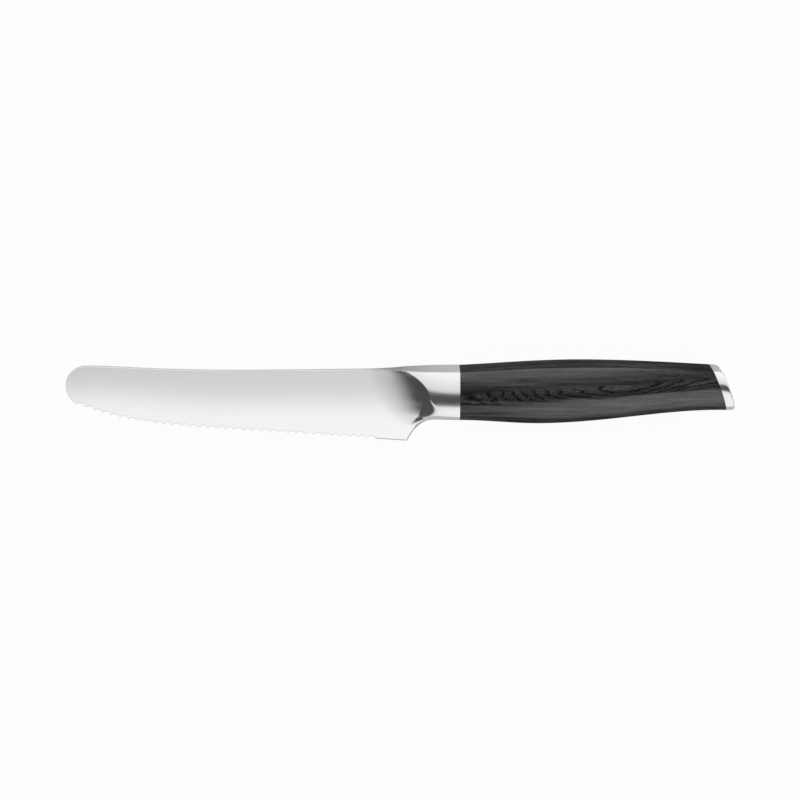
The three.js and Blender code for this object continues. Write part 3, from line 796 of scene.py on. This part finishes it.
def blade_steel():
    """Satin steel with fine lines across the blade, its colour made lighter towards the edge by painted
    light; the bolster is polished.

    The spine's narrow facet is rougher along the blade and carries a painted reflection: lighter along the
    blade, darker towards the hollow and the bolster's front, lighter towards the bolster's rear. What a
    stone has whetted is dull.
    """
    finish, tree = new_finish("blade_steel")
    polish, dull, facet = (point_share(tree, name) for name in ("polish", "dull", "facet"))
    place = millimetres(tree)
    along, height, _ = place.axes()
    # Painted light: the ground steel's colour is lighter towards the edge, and from higher up near the nose
    towards_nose = (0 - along).smooth(60, 110)
    towards_edge = 3.6 * towards_nose - height
    lines = place.noise(BLADE_LINES, 3.0)
    haze = place.noise(BLADE_HAZE)
    ground = 0.6 + 0.205 * towards_edge.smooth(-7.5, 7) + 0.05 * (lines - 0.5)
    # Painted reflection on the spine's facet: lighter along the blade, darker towards the hollow and the
    # bolster's front, lighter towards the bolster's rear
    ground = ground + facet * (0.13 - 0.25 * along.smooth(-15.5, -2.5))
    buffed_and_painted_light = 0.76 + facet * (0.5 * along.smooth(-9.5, 26.5) - 0.29)
    level = (ground * (1 - polish) + buffed_and_painted_light * polish + 0.05 * (haze - 0.5)) * (1 - 0.55 * dull)
    base = level.mixed(grey(0.0), grey(1.0))
    satin = 0.15 + 0.08 * (lines - 0.5) + 0.05 * (haze - 0.5)
    bright = 0.13 + 0.04 * (haze - 0.5)
    roughness = satin * (1 - polish) + bright * polish + 0.2 * dull + 0.35 * facet * (1 - polish)
    normal = relief(tree, lines * (1 - polish), LINE_DEPTH)
    close_finish(tree, shaded(tree, base, roughness, normal, Metallic=1.0))
    return finish


def cap_steel():
    """Polished steel with faint lengthwise rubbing marks."""
    finish, tree = new_finish("cap_steel")
    place = millimetres(tree)
    rub = place.noise(CAP_RUB, 3.0)
    haze = place.noise(CAP_HAZE)
    base = haze.mixed(grey(0.73), grey(0.79))
    roughness = 0.13 + 0.06 * (rub - 0.5) + 0.04 * (haze - 0.5)
    close_finish(tree, shaded(tree, base, roughness, relief(tree, rub, RUB_DEPTH), Metallic=1.0))
    return finish


def black_wood():
    """Black wood, rubbed to a sheen on its sides, raw in its grain and on its planed top and underside,
    with painted shade that darkens and dulls its sides and painted light on its top.

    A growth layer's number is depth plus a lean along and across the handle, slow waves and flames along
    the fibres, over the layers' thickness. A side cuts few layers along the stripe where it lies almost
    along them, and their seams show there as dark strokes that nest round the handle's thickest place.
    """
    finish, tree = new_finish("black_wood")
    place = millimetres(tree)
    along, height, depth = place.axes()
    _, upright, _ = tree.node("ShaderNodeNewGeometry", output="Normal").axes()
    top = upright.smooth(0.75, 0.95)
    wave = place.noise(WOOD_WAVE)
    flame = place.noise(WOOD_FLAME, 4.0, 0.6)
    fibre = place.noise(WOOD_FIBRE, 4.0, 0.6)
    streak = place.noise(WOOD_STREAK, 3.0)
    fleck = place.noise(WOOD_FLECK, 3.0)
    speck = place.noise(WOOD_SPECK)

    # Height above the middle of the stripe, frayed by the flames, and a painted shade over the stripe that
    # fades out above it
    above = height - 0.06 * along - 1.9 + 1.6 * (flame - 0.5)
    from_below = above.smooth(-2.4, -1.6)
    stripe = from_below * (1 - above.smooth(0.8, 2.4))
    shade = from_below * (1 - above.smooth(2, 10))

    # Seams between the layers, and finer ripples with them
    lean = 0.008 * along + (0.1 + 0.0022 * along) * height
    layer = (depth + lean + 0.25 * wave + 0.3 * flame) / WOOD_LAYER
    ripple = 2.7 * layer + 1.5 * fleck
    seams = layer.near_whole() ** 4 + 0.55 * ripple.near_whole() ** 3
    seam = stripe * seams.smooth(0, 1.1)

    # Colour with painted shade and a painted lighter top, and relief, then the two surfaces and the share
    # of the raw one, which paints more shade
    tone = 0.45 + (fibre - 0.5) + 0.9 * (fleck - 0.5) + 1.8 * (streak - 0.5)
    # Painted shade darkens the colour over the stripe and above it; painted light lightens the top
    tone = tone - 0.25 * shade + 0.1 * top
    base = (tone.smooth(0, 1) * (1 - 0.95 * seam)).mixed(WOOD_DARK, WOOD_LIGHT)
    normal = relief(tree, fibre - 0.4 * seam, FIBRE_DEPTH)
    sheen = 0.15 + 0.14 * from_below + 0.12 * (fibre - 0.5) + 0.14 * (fleck - 0.5)
    rubbed = shaded(tree, base, sheen, normal, IOR=RUBBED_IOR)
    raw = shaded(tree, base, 0.75 + 0.1 * (fibre - 0.5), normal, IOR=RAW_IOR)
    planed = top + 0.8 * (0 - upright).smooth(0.4, 0.9)
    pores = 0.1 * stripe * (1 - speck.smooth(0.5, 0.7)) + 0.25 * fleck.smooth(0.45, 0.75) * (1 - stripe)
    # Painted shade through the raw share: the lower side duller towards the front and its bottom, the
    # stripe and the upper side duller under the painted shade
    below = (0.55 * (1 - along.smooth(20, 60)) + 0.33 * (0 - above).smooth(3, 9.5)) * (1 - from_below)
    painted_shade_dulling = 0.65 * shade * (1 - 0.55 * stripe) + below
    share = (seam + pores + painted_shade_dulling + planed).smooth(0, 1)
    close_finish(tree, share.blended(rubbed, raw))
    return finish


def pin_steel():
    """Drawn bar with lengthwise draw marks."""
    finish, tree = new_finish("pin_steel")
    draw = millimetres(tree).noise(DRAW_MARKS)
    base = draw.mixed(grey(0.45), grey(0.6))
    roughness = 0.32 + 0.12 * (draw - 0.5)
    close_finish(tree, shaded(tree, base, roughness, relief(tree, draw, DRAW_DEPTH), Metallic=1.0))
    return finish


def add_camera():
    """The camera over the blade's left side, tilted towards the spine, with +X to the right."""
    lens = bpy.data.cameras.new("camera")
    lens.sensor_width = SENSOR
    lens.lens = SENSOR * VIEW_DISTANCE / VIEW_WIDTH
    camera = bpy.data.objects.new("camera", lens)
    bpy.context.scene.collection.objects.link(camera)
    sine = math.sin(math.radians(VIEW_TILT))
    cosine = math.cos(math.radians(VIEW_TILT))
    aim_x, aim_y = VIEW_AIM
    camera.matrix_world = Matrix((
        (1, 0, 0, aim_x),
        (0, cosine, sine, aim_y + VIEW_DISTANCE * sine),
        (0, -sine, cosine, heel_place.z + VIEW_DISTANCE * cosine),
        (0, 0, 0, 1),
    ))
    bpy.context.scene.camera = camera


def pale_floor():
    """Pale paper that keeps a faint shadow: part of it shines for what sees it straight or mirrored."""
    finish, tree = new_finish("pale_floor")
    rays = tree.node("ShaderNodeLightPath")
    straight, mirrored, passed = rays.outputs("Is Camera Ray", "Is Glossy Ray", "Is Transmission Ray")
    seen = FLOOR_SHINE * straight + FLOOR_MIRRORED * (mirrored + passed)
    paper = tree.node("ShaderNodeBsdfDiffuse", None, {"Color": grey(FLOOR_GREY)})
    shine = tree.node("ShaderNodeEmission", None, {"Color": grey(1.0), "Strength": 1.0})
    close_finish(tree, seen.blended(paper, shine))
    return finish


def add_floor():
    """A wide square sheet under the knife."""
    corners = [(-FLOOR_HALF, -FLOOR_HALF), (FLOOR_HALF, -FLOOR_HALF)]
    corners += [(FLOOR_HALF, FLOOR_HALF), (-FLOOR_HALF, FLOOR_HALF)]
    mesh = bpy.data.meshes.new("floor")
    mesh.from_pydata([(x, y, solid_low.z - FLOOR_GAP) for x, y in corners], [], [(0, 1, 2, 3)])
    mesh.materials.append(pale_floor())
    floor = bpy.data.objects.new("floor", mesh)
    bpy.context.scene.collection.objects.link(floor)


def read_off(tree, value, rows):
    """A brightness read off rows of place and value, straight between rows."""
    low, high = rows[0][0], rows[-1][0]
    stops = [((place - low) / (high - low), brightness) for place, brightness in rows]
    return tree.node("ShaderNodeValToRGB", {"stops": stops}, {0: (value - low) / (high - low)})


def add_tent():
    """A white tent with a dark gap overhead and ends dim on the edge's side; white to the camera."""
    world = bpy.data.worlds.new("tent")
    world.use_nodes = True
    world.node_tree.nodes.clear()
    tree = Wire(world.node_tree)
    along, across, up = tree.node("ShaderNodeTexCoord", output="Generated").axes()
    across_turn = across.math("ARCTAN2", across, up) * math.degrees(1)
    tip_turn = along.math("ARCSINE", 0 - along) * math.degrees(1)
    bands = read_off(tree, across_turn, TENT_BANDS)
    dimming = read_off(tree, tip_turn, TENT_ENDS)
    spine_side = across_turn.smooth(*SPINE_SIDE)
    light = bands * (dimming + (1 - dimming) * spine_side) * TENT_GLOW
    seen = tree.node("ShaderNodeLightPath", output="Is Camera Ray")
    strength = light + (1 - light) * seen
    glow = tree.node("ShaderNodeBackground", None, {"Color": grey(1.0), "Strength": strength})
    tree.node("ShaderNodeOutputWorld", None, {"Surface": glow})
    bpy.context.scene.world = world


steel = blade_steel()
wood = black_wood()
forging, shares = forging_rings()
add_piece("blade_and_bolster", forging, steel, "forged_blade", shares)
add_piece("left_wood_half", handle_rings(1), wood, "left_handle_half")
add_piece("right_wood_half", handle_rings(-1), wood, "right_handle_half")
add_piece("butt_cap", cap_rings(), cap_steel(), "end_cap")

drawn_bar = pin_steel()
for name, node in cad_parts.items():
    if name.startswith(("handle_dowel", "cap_rivet")):
        node.data.materials.clear()
        node.data.materials.append(drawn_bar)

add_camera()
add_tent()
add_floor()
bpy.context.scene.view_settings.view_transform = "Standard"
